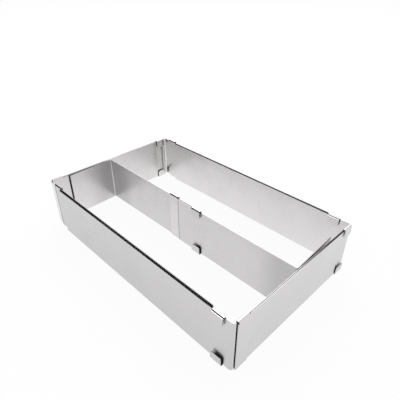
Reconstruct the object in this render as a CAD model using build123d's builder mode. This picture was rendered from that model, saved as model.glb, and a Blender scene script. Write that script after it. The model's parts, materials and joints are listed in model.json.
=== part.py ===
"""Rectangular baking and mousse frame that slides open in length and width, with a sliding divider.

Six bent sheets: four corner sheets that hook onto each other round the frame, and two divider sheets.
Millimetres, Z up. The origin is the middle of the footprint, on the table that the hooks stand on.
X runs along the long walls and Y along the short walls.
"""

import os
from math import atan2, degrees

from build123d import *

# Closed frame, over the outer faces of the outer sheets, and over the hooks in height
frame_length = 250.0
frame_width = 154.0
overall_height = 50.0

# Sheet metal
sheet_thickness = 0.5
corner_bend_radius = 2.5
divider_bend_radius = 1.5
slide_clearance = 0.25

# Space between the main faces of the two sheets of one wall. A short inner leg leans off its outer sheet, so
# its space grows from the root gap at its corner to the end gap at its free end.
long_wall_gap = 2.4
short_wall_root_gap = 0.3
short_wall_end_gap = 0.9
divider_gap = 0.9

# Hooks, two at each free end, one over the top edge and one under the bottom edge
hook_width = 10.5
hook_inner_radius = 0.8
slide_hook_throat = 1.95
corner_hook_throat = 2.2
hook_tab_length = 7.3
hook_flare_angle = 2.0
hook_tip_radius = 2.2
hook_root = 1.0
hook_inset = 0.5
corner_hook_inset = 1.05

# Strip at each free end. Long and divider legs press it towards the sheet that it slides on, down to the
# slide clearance. A short outer leg steps it away, to clear the corner that it ends at.
strip_margin = 0.5
offset_run = 1.8
offset_bend_radius = 0.8
corner_end_gap = 0.85

# How far each free end stops short of the wall it points at, outer face to free end
long_outer_leg_setback = 10.5
long_inner_leg_setback = 8.5
short_outer_leg_setback = 2.75
short_inner_leg_setback = 4.4

# Divider
divider_plate_length = 144.5
divider_foot_length = 51.0
divider_foot_toe_in = 2.0
divider_offset_from_middle = -3.9

# Derived sizes
half_thickness = sheet_thickness / 2
hook_bend_radius = hook_inner_radius + half_thickness
edge_height = hook_inner_radius + sheet_thickness
sheet_height = overall_height - 2 * edge_height
short_wall_thickness = 2 * sheet_thickness + short_wall_end_gap
half_turn = 180.0
quarter_turn = half_turn / 2


class Leg:
    """One leg of a bent sheet, measured from the outer face of the wall it starts at to its free end."""

    def __init__(self, length, inset, throat, gap, end_gap, leans=False):
        self.length = length
        self.throat = throat
        self.gap = gap
        self.end_gap = end_gap
        self.offset_depth = gap - end_gap
        self.leans = leans
        self.lean_angle = degrees(atan2(end_gap - gap, length)) if leans else 0
        self.hook_end = length - inset
        self.strip_start = length - inset - hook_width - strip_margin
        self.main_end = self.strip_start - offset_run


def leg_points(leg, level):
    """(distance along the leg, level across it) of the middle line, from the main face to the free end."""
    end_level = level - leg.offset_depth
    if leg.leans:
        return [(leg.length, end_level)]
    return [(leg.main_end, level), (leg.strip_start, end_level), (leg.length, end_level)]


def offset_radii(leg):
    """Radii of the bends between a leg's main face and its strip."""
    return [offset_bend_radius] * (len(leg_points(leg, 0)) - 1)


def corner_radii(outer, inner):
    """Radii of the bends of a corner sheet, from its outer end."""
    return offset_radii(outer) + [corner_bend_radius] + offset_radii(inner)


def corner_points(outer, inner):
    """Plan of a corner sheet. Its outer leg runs along X under y = 0, its inner leg along -Y."""
    inner_level = sheet_thickness + inner.gap + half_thickness
    along_x = leg_points(outer, -half_thickness)
    along_minus_y = [(level, -distance) for distance, level in leg_points(inner, inner_level)]
    return along_x[::-1] + [(inner_level, -half_thickness)] + along_minus_y


def hooks_folded_in(leg):
    """Places of the two hooks of an outer leg or a divider plate, in the plan of its own sheet."""
    face = -sheet_thickness - leg.offset_depth
    return top_and_bottom(Location((leg.hook_end, face, 0), (0, 0, half_turn)))


def hooks_folded_out(leg):
    """Places of the two hooks of an inner leg, in the plan of its own sheet."""
    face = sheet_thickness + leg.end_gap
    return top_and_bottom(Location((face, -leg.hook_end, 0), (0, 0, quarter_turn + leg.lean_angle)))


def divider_points():
    """Plan of a divider sheet. Its plate runs along X under y = 0, its foot along -Y, turned off the wall."""
    plate = leg_points(divider_leg, -half_thickness)[::-1]
    heel = Vector(half_thickness, -half_thickness)
    foot = Vector(0, -divider_foot_length).rotate(Axis.Z, divider_foot_toe_in)
    return plate + [heel, heel + foot]


def top_and_bottom(place):
    """The same hook over the top edge and, turned over about its fold direction, under the bottom edge."""
    upper = place * Location((0, 0, overall_height - edge_height))
    lower = place * Location((hook_width, 0, edge_height), (0, half_turn, 0))
    return [upper, lower]


def turned_about_middle(x, y, turn):
    """A plane on the table with its origin at this point, turned about the vertical."""
    return Plane(Location((x, y, 0), (0, 0, turn)))


# Legs
long_outer_leg = Leg(
    frame_length - long_outer_leg_setback, hook_inset, slide_hook_throat, long_wall_gap, slide_clearance
)
long_inner_leg = Leg(
    frame_length - long_inner_leg_setback, hook_inset, slide_hook_throat, long_wall_gap, slide_clearance
)
short_outer_leg = Leg(
    frame_width - short_outer_leg_setback,
    corner_hook_inset,
    corner_hook_throat,
    short_wall_root_gap,
    corner_end_gap,
)
short_inner_leg = Leg(
    frame_width - short_inner_leg_setback,
    hook_inset,
    slide_hook_throat,
    short_wall_root_gap,
    short_wall_end_gap,
    leans=True,
)
divider_leg = Leg(divider_plate_length, hook_inset, slide_hook_throat, divider_gap, slide_clearance)

# Where the sheets stand
half_length = frame_length / 2
half_width = frame_width / 2
left_place = turned_about_middle(-half_length, -half_width, quarter_turn)
front_place = turned_about_middle(half_length, -half_width, half_turn)
right_place = turned_about_middle(half_length, half_width, -quarter_turn)
back_place = turned_about_middle(-half_length, half_width, 0)
divider_half_span = half_length - short_wall_thickness - slide_clearance
divider_half_depth = sheet_thickness + divider_gap / 2
divider_left_place = turned_about_middle(
    -divider_half_span, divider_offset_from_middle + divider_half_depth, 0
)
divider_right_place = turned_about_middle(
    divider_half_span, divider_offset_from_middle - divider_half_depth, half_turn
)

# Hooks by throat, the space between their root and their tab. Each has its root in its own sheet, a bridge
# over the edge of the other sheet and a tab that flares off the far face of that sheet.
hooks = {}
for throat in (slide_hook_throat, corner_hook_throat):
    with BuildPart() as hook:
        with BuildSketch(Plane.YZ):
            with BuildLine():
                root = Line((-half_thickness, -hook_root), (-half_thickness, 0))
                rise = JernArc(
                    start=root @ 1, tangent=root % 1, radius=hook_bend_radius, arc_size=-quarter_turn
                )
                bridge_length = throat + sheet_thickness - 2 * hook_bend_radius
                bridge = PolarLine(start=rise @ 1, length=bridge_length, direction=rise % 1)
                tab_turn = hook_flare_angle - quarter_turn
                fall = JernArc(
                    start=bridge @ 1, tangent=bridge % 1, radius=hook_bend_radius, arc_size=tab_turn
                )
                PolarLine(start=fall @ 1, length=hook_tab_length, direction=fall % 1)
            trace(line_width=sheet_thickness)
        extrude(amount=hook_width)
        tip = hook.faces().sort_by(Axis.Z).first
        fillet(tip.edges().filter_by(Axis.X, reverse=True), radius=hook_tip_radius)
    hooks[throat] = hook.part

# Corner sheet that turns the left corner: short outer leg, long inner leg
with BuildPart() as corner_sheet_left:
    with BuildSketch(left_place.offset(edge_height)):
        with BuildLine():
            FilletPolyline(
                *corner_points(short_outer_leg, long_inner_leg),
                radius=corner_radii(short_outer_leg, long_inner_leg),
            )
        trace(line_width=sheet_thickness)
    extrude(amount=sheet_height)
    with Locations([left_place.location * spot for spot in hooks_folded_in(short_outer_leg)]):
        add(hooks[short_outer_leg.throat])
    with Locations([left_place.location * spot for spot in hooks_folded_out(long_inner_leg)]):
        add(hooks[long_inner_leg.throat])

# Corner sheet that turns the front corner: long outer leg, short inner leg
with BuildPart() as corner_sheet_front:
    with BuildSketch(front_place.offset(edge_height)):
        with BuildLine():
            FilletPolyline(
                *corner_points(long_outer_leg, short_inner_leg),
                radius=corner_radii(long_outer_leg, short_inner_leg),
            )
        trace(line_width=sheet_thickness)
    extrude(amount=sheet_height)
    with Locations([front_place.location * spot for spot in hooks_folded_in(long_outer_leg)]):
        add(hooks[long_outer_leg.throat])
    with Locations([front_place.location * spot for spot in hooks_folded_out(short_inner_leg)]):
        add(hooks[short_inner_leg.throat])

# Corner sheet that turns the right corner, the same sheet as the left one
with BuildPart() as corner_sheet_right:
    with BuildSketch(right_place.offset(edge_height)):
        with BuildLine():
            FilletPolyline(
                *corner_points(short_outer_leg, long_inner_leg),
                radius=corner_radii(short_outer_leg, long_inner_leg),
            )
        trace(line_width=sheet_thickness)
    extrude(amount=sheet_height)
    with Locations([right_place.location * spot for spot in hooks_folded_in(short_outer_leg)]):
        add(hooks[short_outer_leg.throat])
    with Locations([right_place.location * spot for spot in hooks_folded_out(long_inner_leg)]):
        add(hooks[long_inner_leg.throat])

# Corner sheet that turns the back corner, the same sheet as the front one
with BuildPart() as corner_sheet_back:
    with BuildSketch(back_place.offset(edge_height)):
        with BuildLine():
            FilletPolyline(
                *corner_points(long_outer_leg, short_inner_leg),
                radius=corner_radii(long_outer_leg, short_inner_leg),
            )
        trace(line_width=sheet_thickness)
    extrude(amount=sheet_height)
    with Locations([back_place.location * spot for spot in hooks_folded_in(long_outer_leg)]):
        add(hooks[long_outer_leg.throat])
    with Locations([back_place.location * spot for spot in hooks_folded_out(short_inner_leg)]):
        add(hooks[short_inner_leg.throat])

# Divider sheet on the left wall
with BuildPart() as divider_sheet_left:
    with BuildSketch(divider_left_place.offset(edge_height)):
        with BuildLine():
            FilletPolyline(*divider_points(), radius=offset_radii(divider_leg) + [divider_bend_radius])
        trace(line_width=sheet_thickness)
    extrude(amount=sheet_height)
    with Locations([divider_left_place.location * spot for spot in hooks_folded_in(divider_leg)]):
        add(hooks[divider_leg.throat])

# Divider sheet on the right wall, the same sheet turned round
with BuildPart() as divider_sheet_right:
    with BuildSketch(divider_right_place.offset(edge_height)):
        with BuildLine():
            FilletPolyline(*divider_points(), radius=offset_radii(divider_leg) + [divider_bend_radius])
        trace(line_width=sheet_thickness)
    extrude(amount=sheet_height)
    with Locations([divider_right_place.location * spot for spot in hooks_folded_in(divider_leg)]):
        add(hooks[divider_leg.throat])

corner_sheet_left.part.label = "corner_sheet_left"
corner_sheet_front.part.label = "corner_sheet_front"
corner_sheet_right.part.label = "corner_sheet_right"
corner_sheet_back.part.label = "corner_sheet_back"
divider_sheet_left.part.label = "divider_sheet_left"
divider_sheet_right.part.label = "divider_sheet_right"

os.makedirs("parts", exist_ok=True)
export_step(corner_sheet_left.part, "parts/corner_sheet_left.step")
export_step(corner_sheet_front.part, "parts/corner_sheet_front.step")
export_step(corner_sheet_right.part, "parts/corner_sheet_right.step")
export_step(corner_sheet_back.part, "parts/corner_sheet_back.step")
export_step(divider_sheet_left.part, "parts/divider_sheet_left.step")
export_step(divider_sheet_right.part, "parts/divider_sheet_right.step")
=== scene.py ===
import json
import math

import bpy
from mathutils import Matrix, Vector

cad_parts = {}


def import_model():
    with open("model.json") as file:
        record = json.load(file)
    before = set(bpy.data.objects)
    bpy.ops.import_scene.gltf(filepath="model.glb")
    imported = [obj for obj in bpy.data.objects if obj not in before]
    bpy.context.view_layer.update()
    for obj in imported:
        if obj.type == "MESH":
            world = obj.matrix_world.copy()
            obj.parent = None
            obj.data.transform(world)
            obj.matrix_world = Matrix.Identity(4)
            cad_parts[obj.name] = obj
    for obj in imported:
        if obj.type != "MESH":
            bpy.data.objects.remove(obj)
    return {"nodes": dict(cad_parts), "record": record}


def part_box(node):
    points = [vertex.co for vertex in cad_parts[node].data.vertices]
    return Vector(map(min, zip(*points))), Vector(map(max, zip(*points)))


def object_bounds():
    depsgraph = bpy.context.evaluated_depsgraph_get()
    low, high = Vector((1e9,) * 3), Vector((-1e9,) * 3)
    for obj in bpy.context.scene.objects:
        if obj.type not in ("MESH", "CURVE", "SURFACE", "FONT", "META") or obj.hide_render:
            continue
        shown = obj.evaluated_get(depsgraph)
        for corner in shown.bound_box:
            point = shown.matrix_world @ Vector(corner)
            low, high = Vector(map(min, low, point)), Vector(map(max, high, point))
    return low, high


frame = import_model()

cad_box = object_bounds()

# Lengths and angles
mm = 0.001
deg = math.pi / 180

# Camera, solved from the corners and long edges in the photograph
photo_side_px = 400
focal_length_px = 388
sensor_width_mm = 36
camera_place = Vector((223.07, -204.57, 247.07)) * mm
camera_azimuth = -45.39 * deg
camera_dip = 33.07 * deg
camera_clip_start = 1 * mm

# White floor
floor_side = 12.0
floor_height = 0.0
floor_colour = (0.93, 0.93, 0.93, 1)
floor_white_share = 0.93
white = (1, 1, 1, 1)

# White surroundings: levels of light, and heights on a sphere of radius 1 between which they change
horizon_level = 1.0
zenith_level = 0.8
ambient_level = 0.85
dark_gap_level = 0.02
horizon_height = 0.15
zenith_height = 0.95

# Dark gaps in the surroundings: azimuth from +X, elevation, radius that is all dark, radius where it ends
dark_gaps = (
    (200 * deg, 50 * deg, 30 * deg, 36 * deg),
    (218 * deg, 10 * deg, 19 * deg, 25 * deg),
)

# Lamps: name, place, side of the square, watts
lamps = (
    ("back_lamp", (-0.9, 0.95, 1.05), 1.2, 9),
    ("left_lamp", (-0.58, -1.6, 0.25), 0.5, 2),
)

# Steel colour, a little darker or lighter as the sum of grain and patches goes from low to high
steel_share = 1.08
steel_colour = [steel_share * c for c in frame["record"]["materials"][0]["base_color"]]
tint_low_share = 0.98
tint_high_share = 1.02
uneven_low = 0.7
uneven_high = 1.3

# Noises: scale, detail and roughness of each. The grain is drawn out along the sheets.
grain_noise = (1.0, 3.0, 0.6)
patch_noise = (38, 3.0, 0.55)
wave_noise = (14, 1.0, 0.4)
grain_scales = (30, 30, 1500)
grain_relief = 0.001 * mm
wave_relief = 0.35 * mm

# Roughness, from smooth to rough as a noise goes from low to high
patch_low = 0.35
patch_high = 0.7
patch_smooth = 0.22
patch_rough = 0.30
grain_low = 0.3
grain_high = 0.7
grain_extra_rough = 0.02
hook_roughness = 0.12

# Brushing: how far it draws out the gloss, and its direction as a share of a whole turn
brushed_share = 0.8
quarter_turn_share = 0.25

# Places on the sheets. A reach is a distance from the middle, along the frame or up and down.
front_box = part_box("corner_sheet_front")
left_divider_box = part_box("divider_sheet_left")
right_divider_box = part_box("divider_sheet_right")
top_height = cad_box[1].z
middle_height = top_height / 2
hook_height = 1.3 * mm
hook_margin = 0.4 * mm
wall_reach = middle_height - hook_height + hook_margin
corner_margin = 8 * mm
corner_reach = cad_box[1].x - corner_margin
front_free_end = front_box[0].x
free_end_width = 1.8 * mm
outer_sheet_depth = 2.75 * mm
front_outer_back = front_box[0].y + outer_sheet_depth
front_wall_depth = 4 * mm
front_wall_back = front_box[0].y + front_wall_depth
crease_back = 50 * mm
divider_band = 10 * mm
strip_length = 11.5 * mm
divider_strip_start = right_divider_box[0].x
divider_strip_end = divider_strip_start + strip_length
divider_hook_end = left_divider_box[1].x
divider_hook_start = divider_hook_end - strip_length
foot_margin = 0.1 * mm
foot_reach = foot_margin - left_divider_box[0].x
foot_shade_start = 12 * mm
foot_shade_end = 42 * mm

# How a face stands: its normal along an axis, X times Y of it on a step, and its distance from the origin
square_on = 0.9
half_on = 0.5
slant_low = 0.1
slant_high = 0.25
facing_depth = 40 * mm

# How much of the front wall's painted highlight the divider's end strip has
divider_highlight_share = 0.28

# Painted light and shade on the faces, as shares of the steel colour
# Painted shade in the pressed creases and a painted shadow line at the front sheet's free end
crease_shade_share = 0.5
# Painted highlight on the end strips
strip_highlight_share = 1.32
# Painted shade on the front wall's outer face
front_wall_shade_share = 0.92
foot_share = 0.78
# Painted light and shade by facing and height: inward faces lighter, outward faces darker low down
inner_low_share = 1.18
inner_high_share = 1.05
outer_low_share = 0.95
outer_high_share = 1.03

# Painted shade on the cut edges and cut ends, standing in for the dark gaps between the sheets, as shares of
# the steel colour
edge_shade_share = 0.42
cut_end_shade_share = 0.2
divider_edge_share = 0.7
divider_hook_shade_share = 0.12
right_edge_front_share = 0.7
right_edge_back_share = 0.15
right_edge_fade_start = -10 * mm
right_edge_fade_end = 40 * mm


class Shader:
    """Nodes of one material or world, wired by short calls. A mask is 1 on its place and 0 elsewhere."""

    def __init__(self, owner):
        owner.use_nodes = True
        self.tree = owner.node_tree
        self.tree.nodes.clear()

    def node(self, kind, settings=None, **sockets):
        made = self.tree.nodes.new(kind)
        for name, value in (settings or {}).items():
            setattr(made, name, value)
        for name, value in sockets.items():
            self.put(made, name.replace("_", " "), value)
        return made

    def put(self, made, name, value):
        """Link a socket to this input, or set the input to a plain value."""
        socket = made.inputs[name]
        if isinstance(value, bpy.types.NodeSocket):
            self.tree.links.new(value, socket)
        else:
            socket.default_value = value

    def math(self, operation, *values):
        made = self.node("ShaderNodeMath", {"operation": operation})
        for index, value in enumerate(values):
            self.put(made, index, value)
        return made.outputs["Value"]

    def size(self, value):
        """The value without its sign."""
        return self.math("ABSOLUTE", value)

    def below(self, value, limit):
        return self.math("LESS_THAN", value, limit)

    def above(self, value, limit):
        return self.math("GREATER_THAN", value, limit)

    def product(self, first, *others):
        """Product of the values. Of masks, it is 1 where all of them are."""
        for other in others:
            first = self.math("MULTIPLY", first, other)
        return first

    def either(self, first, second):
        return self.math("MAXIMUM", first, second)

    def span(self, value, low, high, to_low=0.0, to_high=1.0, curve="LINEAR"):
        """The value's way from low to high, taken to the way from to_low to to_high."""
        made = self.node("ShaderNodeMapRange", {"clamp": True, "interpolation_type": curve})
        self.put(made, "Value", value)
        self.put(made, "From Min", low)
        self.put(made, "From Max", high)
        self.put(made, "To Min", to_low)
        self.put(made, "To Max", to_high)
        return made.outputs["Result"]

    def choose(self, mask, elsewhere, there):
        """The value for where the mask is 1, or the one for elsewhere."""
        return self.span(mask, 0.0, 1.0, elsewhere, there)

    def axes(self, vector):
        return self.node("ShaderNodeSeparateXYZ", Vector=vector).outputs

    def dot(self, first, second):
        made = self.node("ShaderNodeVectorMath", {"operation": "DOT_PRODUCT"})
        self.put(made, 0, first)
        self.put(made, 1, second)
        return made.outputs["Value"]

    def mix(self, factor, first, second, blend="MIX"):
        made = self.node("ShaderNodeMix", {"data_type": "RGBA", "blend_type": blend}, Factor=factor)
        self.put(made, "A", first)
        self.put(made, "B", second)
        return made.outputs["Result"]

    def mix_surfaces(self, factor, first, second):
        made = self.node("ShaderNodeMixShader")
        for index, value in enumerate((factor, first, second)):
            self.put(made, index, value)
        return made.outputs["Shader"]

    def noise(self, place, scale, detail, roughness):
        made = self.node("ShaderNodeTexNoise", Vector=place, Scale=scale, Detail=detail, Roughness=roughness)
        return made.outputs["Fac"]

    def bump(self, height, relief, normal=None):
        made = self.node("ShaderNodeBump", Height=height, Distance=relief, Strength=1.0)
        if normal is not None:
            self.put(made, "Normal", normal)
        return made.outputs["Normal"]


def seen_directly_or_mirrored(s):
    """1 for rays from the camera, off gloss or through glass, 0 for the rest."""
    path = s.node("ShaderNodeLightPath")
    seen = s.either(path.outputs["Is Camera Ray"], path.outputs["Is Glossy Ray"])
    return s.either(seen, path.outputs["Is Transmission Ray"])


def by_divider(s, spot):
    """Mask of the band across the middle of the frame that the divider stands in."""
    return s.below(s.size(spot["Y"]), divider_band)


def from_middle(s, spot):
    """Height above or depth below the middle of the walls."""
    return s.size(s.math("SUBTRACT", spot["Z"], middle_height))


def crease_shade(s, spot, facing):
    """Mask of the painted shade on the pressed steps of the front wall and divider, and of a painted shadow
    line at the front sheet's free end.
    """
    slant = s.size(s.product(facing["X"], facing["Y"]))
    off_corners = s.product(s.below(s.size(spot["X"]), corner_reach), s.below(spot["Y"], crease_back))
    steps = s.product(s.span(slant, slant_low, slant_high), off_corners)
    past_end = s.math("SUBTRACT", spot["X"], front_free_end + free_end_width / 2)
    on_end = s.below(s.size(past_end), free_end_width / 2)
    free_end = s.product(on_end, s.below(spot["Y"], front_outer_back))
    return s.either(steps, free_end)


def highlight_strip(s, spot):
    """Mask of the painted highlight on the left sheet beside the front sheet's free end, and faintly on the
    divider's end strip.
    """
    front = s.product(s.below(spot["X"], front_free_end), s.below(spot["Y"], front_wall_back))
    along = s.product(s.above(spot["X"], divider_strip_start), s.below(spot["X"], divider_strip_end))
    return s.either(front, s.product(along, by_divider(s, spot), divider_highlight_share))


def folded_hook(s, spot):
    """Mask of the bends and bridges of the hooks, above and below the walls."""
    return s.above(from_middle(s, spot), wall_reach)


def sheared_edge(s, spot, facing):
    """Mask of the cut edges along the top and bottom of the sheets, without the hooks over them."""
    flat = s.above(s.size(facing["Z"]), square_on)
    return s.product(flat, s.below(from_middle(s, spot), wall_reach))


def gap_shade_on_edges(s, spot, facing):
    """Painted shade of the dark gaps between the sheets: share of the steel colour on cut edges and cut ends,
    1 elsewhere.

    Along the right wall the edges go from lighter at the front to darker at the back.
    On the divider they are darkest by its hooks.
    """
    right_shares = (right_edge_front_share, right_edge_back_share)
    right_edge = s.span(spot["Y"], right_edge_fade_start, right_edge_fade_end, *right_shares)
    on_right_wall = s.product(s.above(spot["X"], corner_reach), s.above(spot["Y"], front_wall_back))
    away = s.size(spot["X"])
    by_hook = s.product(s.above(away, divider_hook_start), s.below(away, divider_hook_end))
    divider_edge = s.choose(by_hook, divider_edge_share, divider_hook_shade_share)
    share = s.choose(by_divider(s, spot), edge_shade_share, divider_edge)
    share = s.choose(on_right_wall, share, right_edge)
    edges = s.choose(sheared_edge(s, spot, facing), 1.0, share)
    cut_end = s.product(s.above(s.size(facing["X"]), square_on), s.below(away, corner_reach))
    return s.product(edges, s.choose(cut_end, 1.0, cut_end_shade_share))


def shaded_front_wall(s, spot, facing):
    """Mask of the outer face of the front wall, which gets a painted shade."""
    return s.product(s.below(facing["Y"], -half_on), s.below(spot["Y"], front_wall_back))


def light_by_facing(s, place, spot, normal):
    """Painted light and shade: share of the steel colour by height, lighter on faces that look inwards and
    darker low down outside.
    """
    outward = s.dot(normal, place)
    inner = s.span(spot["Z"], 0.0, top_height, inner_low_share, inner_high_share)
    outer = s.span(spot["Z"], 0.0, top_height, outer_low_share, outer_high_share)
    inside = s.choose(s.below(outward, -facing_depth), 1.0, inner)
    outside = s.choose(s.above(outward, facing_depth), 1.0, outer)
    return s.product(inside, outside)


def foot_shade(s, spot):
    """1 on the divider sheets by the bends of their feet, fading to 0 along the sheets, 0 on the walls."""
    away = s.size(spot["X"])
    short = s.math("SUBTRACT", foot_reach, away)
    squares = s.math("ADD", s.math("POWER", short, 2.0), s.math("POWER", spot["Y"], 2.0))
    near = s.span(s.math("SQRT", squares), foot_shade_start, foot_shade_end, 1.0, 0.0, "SMOOTHSTEP")
    return s.product(near, s.below(away, foot_reach))


def steel(share):
    """This share of the steel colour."""
    return tuple(share * c for c in steel_colour) + (1,)


def stainless(name):
    """Brushed stainless sheet with fine grain, slight waves and dull patches, with painted light and shade by
    place and facing.
    """
    material = bpy.data.materials.new(name)
    s = Shader(material)
    coordinates = s.node("ShaderNodeTexCoord").outputs
    place = coordinates["Object"]
    normal = coordinates["Normal"]
    spot = s.axes(place)
    facing = s.axes(normal)
    drawn_out = s.node("ShaderNodeMapping", Vector=place, Scale=grain_scales).outputs["Vector"]
    grain = s.noise(drawn_out, *grain_noise)
    patches = s.noise(place, *patch_noise)
    waves = s.noise(place, *wave_noise)

    uneven = s.span(s.math("ADD", grain, patches), uneven_low, uneven_high)
    colour = s.mix(uneven, steel(tint_low_share), steel(tint_high_share))
    # Painted highlight on the end strips, lighter than the steel colour
    colour = s.mix(highlight_strip(s, spot), colour, steel(strip_highlight_share))
    # Painted shade in the creases and a painted shadow line at the front sheet's free end
    colour = s.mix(crease_shade(s, spot, facing), colour, steel(crease_shade_share))
    # Painted shade on the front wall's outer face
    front_wall_shade = s.choose(shaded_front_wall(s, spot, facing), 1.0, front_wall_shade_share)
    shaded = s.choose(foot_shade(s, spot), 1.0, foot_share)
    # Painted light and shade by facing and height, with painted shade on the front wall, by the divider's
    # feet and on the cut edges and ends
    tone = s.product(front_wall_shade, shaded, light_by_facing(s, place, spot, normal), gap_shade_on_edges(s, spot, facing))

    satin = s.span(patches, patch_low, patch_high, patch_smooth, patch_rough)
    satin = s.math("ADD", satin, s.span(grain, grain_low, grain_high, 0.0, grain_extra_rough))
    relief = s.bump(waves, wave_relief)
    relief = s.bump(grain, grain_relief, relief)
    around = s.node("ShaderNodeTangent", {"direction_type": "RADIAL", "axis": "Z"}).outputs["Tangent"]

    surface = s.node("ShaderNodeBsdfPrincipled", Metallic=1.0, Normal=relief, Tangent=around)
    s.put(surface, "Base Color", s.mix(1.0, colour, tone, "MULTIPLY"))
    s.put(surface, "Roughness", s.choose(folded_hook(s, spot), satin, hook_roughness))
    s.put(surface, "Anisotropic", brushed_share)
    s.put(surface, "Anisotropic Rotation", quarter_turn_share)
    s.node("ShaderNodeOutputMaterial", Surface=surface.outputs["BSDF"])
    return material


def floor_material():
    """White floor that keeps the object's shadow."""
    material = bpy.data.materials.new("white_floor")
    s = Shader(material)
    lit = s.node("ShaderNodeBsdfDiffuse", Color=floor_colour).outputs["BSDF"]
    plain = s.node("ShaderNodeEmission", Color=white, Strength=1.0).outputs["Emission"]
    whitened = s.product(seen_directly_or_mirrored(s), floor_white_share)
    s.node("ShaderNodeOutputMaterial", Surface=s.mix_surfaces(whitened, lit, plain))
    return material


def floor():
    """Level square under the object."""
    mesh = bpy.data.meshes.new("floor")
    half = floor_side / 2
    corners = [(-half, -half), (half, -half), (half, half), (-half, half)]
    mesh.from_pydata([(x, y, floor_height) for x, y in corners], [], [(0, 1, 2, 3)])
    made = bpy.data.objects.new("floor", mesh)
    bpy.context.scene.collection.objects.link(made)
    made.data.materials.append(floor_material())


def toward(azimuth, elevation):
    """Unit vector that points to this azimuth from +X and this elevation."""
    level = math.cos(elevation)
    return level * math.cos(azimuth), level * math.sin(azimuth), math.sin(elevation)


def world():
    """Even light all round. Seen directly or mirrored it is white, with dark gaps on the camera's left."""
    made = bpy.data.worlds.new("studio")
    bpy.context.scene.world = made
    s = Shader(made)
    direction = s.node("ShaderNodeTexCoord").outputs["Generated"]
    level = s.span(s.axes(direction)["Z"], horizon_height, zenith_height, horizon_level, zenith_level)
    for azimuth, elevation, inside, outside in dark_gaps:
        nearness = s.dot(direction, toward(azimuth, elevation))
        edges = math.cos(outside), math.cos(inside)
        level = s.product(level, s.span(nearness, *edges, 1.0, dark_gap_level, "SMOOTHSTEP"))
    even = s.node("ShaderNodeBackground", Color=white, Strength=ambient_level).outputs["Background"]
    shown = s.node("ShaderNodeBackground", Color=white, Strength=level).outputs["Background"]
    s.node("ShaderNodeOutputWorld", Surface=s.mix_surfaces(seen_directly_or_mirrored(s), even, shown))


def lamp(name, place, side, watts):
    """A soft square lamp that faces the middle of the object's footprint."""
    data = bpy.data.lights.new(name, "AREA")
    data.shape = "SQUARE"
    data.size = side
    data.energy = watts
    made = bpy.data.objects.new(name, data)
    bpy.context.scene.collection.objects.link(made)
    aim = (-Vector(place)).to_track_quat("-Z", "Y")
    made.matrix_world = Matrix.LocRotScale(Vector(place), aim, None)


def camera():
    """Camera at the photograph's place and angle."""
    data = bpy.data.cameras.new("camera")
    data.sensor_width = sensor_width_mm
    data.lens = focal_length_px / photo_side_px * sensor_width_mm
    data.clip_start = camera_clip_start
    made = bpy.data.objects.new("camera", data)
    bpy.context.scene.collection.objects.link(made)
    right = Vector((math.cos(camera_azimuth), -math.sin(camera_azimuth), 0))
    ahead = Vector((
        math.sin(camera_azimuth) * math.cos(camera_dip),
        math.cos(camera_azimuth) * math.cos(camera_dip),
        -math.sin(camera_dip),
    ))
    up = right.cross(ahead)
    turn = Matrix((right, up, -ahead)).transposed().to_4x4()
    made.matrix_world = Matrix.Translation(camera_place) @ turn
    bpy.context.scene.camera = made


camera()
world()
floor()
for values in lamps:
    lamp(*values)

sheet_steel = stainless("stainless_sheet")
for node in frame["nodes"].values():
    for slot in node.material_slots:
        slot.material = sheet_steel

bpy.context.scene.view_settings.view_transform = "Standard"
